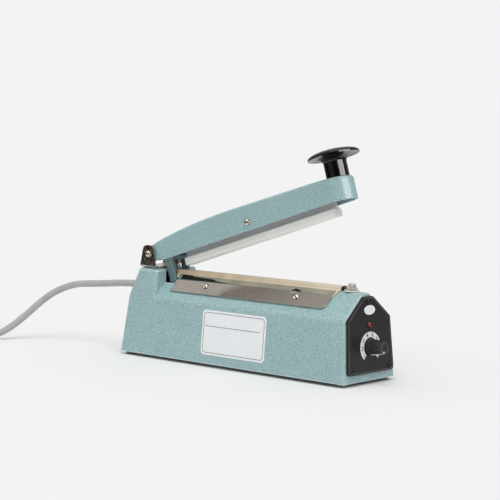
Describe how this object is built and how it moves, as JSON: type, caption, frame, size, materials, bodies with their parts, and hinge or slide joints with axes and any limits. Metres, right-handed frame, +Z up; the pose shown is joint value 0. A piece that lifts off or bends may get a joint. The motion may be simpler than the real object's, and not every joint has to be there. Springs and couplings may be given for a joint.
{
  "type": "impulse bag sealer",
  "caption": "Bench impulse sealer: gabled die-cast housing, sprung press arm with silicone strip, heated bed under cloth, timer knob, lamp, mains lead.",
  "frame": {"origin": "on the floor under the middle of the sealer's bounding box, measured without the mains lead", "axes": "+X along the arm from the hinge to the timer panel, +Y to the side away from the label, +Z up"},
  "size_m": [0.6206, 0.1522, 0.2106],
  "materials": {
    "hammered_teal": "light grey-green hammered enamel on a die casting",
    "black_plastic": "glossy black moulding",
    "black_panel": "satin black sheet",
    "bright_nickel": "bright nickel plating",
    "zinc_steel": "zinc-plated steel",
    "brass": "turned brass",
    "copper": null,
    "grey_aluminium": "mill-finish section",
    "white_silicone": "white silicone rubber",
    "cloth_beige": "beige glass cloth coated with fluoropolymer",
    "rubber_grey": "grey rubber",
    "lead_grey": "mid-grey cable sheath",
    "red_lens": "dark red lens",
    "dark_fibre": "dark moulded insulation",
    "board_green": "printed circuit board"
  },
  "bodies": {
    "base": {"housing": "hammered_teal", "microswitch": "black_plastic", "timer_relay": "black_plastic", "plug": "black_plastic", "cord_tie": "black_plastic", "panel_screw_top": "black_plastic", "panel_screw_near": "black_plastic", "panel_screw_far": "black_plastic", "control_panel": "black_panel", "side_plate_near": "bright_nickel", "side_plate_far": "bright_nickel", "side_plate_screw_near_rear": "bright_nickel", "side_plate_screw_near_front": "bright_nickel", "side_plate_screw_far_rear": "bright_nickel", "side_plate_screw_far_front": "bright_nickel", "hinge_bracket": "bright_nickel", "hinge_bolt": "bright_nickel", "hinge_nut": "bright_nickel", "front_terminal_screw": "bright_nickel", "heating_element": "bright_nickel", "base_plate": "zinc_steel", "foot_screw_rear_near": "zinc_steel", "foot_screw_rear_far": "zinc_steel", "foot_screw_front_near": "zinc_steel", "foot_screw_front_far": "zinc_steel", "potentiometer": "zinc_steel", "transformer_core": "zinc_steel", "bracket_screw_near": "zinc_steel", "bracket_screw_far": "zinc_steel", "microswitch_bracket": "zinc_steel", "return_spring": "zinc_steel", "rear_terminal": "brass", "transformer_coil": "copper", "front_terminal_washer": "white_silicone", "ptfe_cover": "cloth_beige", "under_tape": "cloth_beige", "rubber_foot_rear_near": "rubber_grey", "rubber_foot_rear_far": "rubber_grey", "rubber_foot_front_near": "rubber_grey", "rubber_foot_front_far": "rubber_grey", "power_cord": "lead_grey", "cord_coil": "lead_grey", "strain_relief": "lead_grey", "pilot_lamp": "red_lens", "seal_bed": "dark_fibre", "timer_capacitor": "dark_fibre", "timer_board": "board_green"},
    "arm": {"arm_casting": "hammered_teal", "press_knob": "black_plastic", "knob_screw": "zinc_steel", "bar_pivot_screw": "bright_nickel", "trip_screw": "zinc_steel", "trip_nut": "brass", "spring_pin": "zinc_steel"},
    "press_bar": {"pressure_bar": "grey_aluminium", "silicone_strip": "white_silicone"},
    "timer": {"timer_knob": "black_plastic", "timer_shaft": "brass"},
    "plunger": {"switch_plunger": "red_lens"}
  },
  "joints": [
    {"name": "arm_press", "type": "hinge", "parent": "base", "child": "arm", "pos_m": [-0.13424, 0, 0.0995], "axis": [0, 1, 0], "range_deg": [0, 13.47], "stiffness_Nm_per_rad": 2, "springref_deg": -34.38, "deforming": ["return_spring"]},
    {"name": "press_bar_tilt", "type": "hinge", "parent": "arm", "child": "press_bar", "pos_m": [-0.0002, 0, 0.13783], "axis": [0, 1, 0], "range_deg": [0, 4]},
    {"name": "timer_knob_turn", "type": "hinge", "parent": "base", "child": "timer", "pos_m": [0.13644, 0, 0.03315], "axis": [-0.9984, 0, -0.0573], "range_deg": [0, 300]},
    {"name": "switch_press", "type": "slide", "parent": "base", "child": "plunger", "axis": [0, 0, -1], "range_m": [0, 0.0015], "stiffness_N_per_m": 500, "springref_m": -0.001}
  ],
  "couplings": [
    {"joint": "press_bar_tilt", "follows": "arm_press", "ratio": 0.23952}
  ]
}
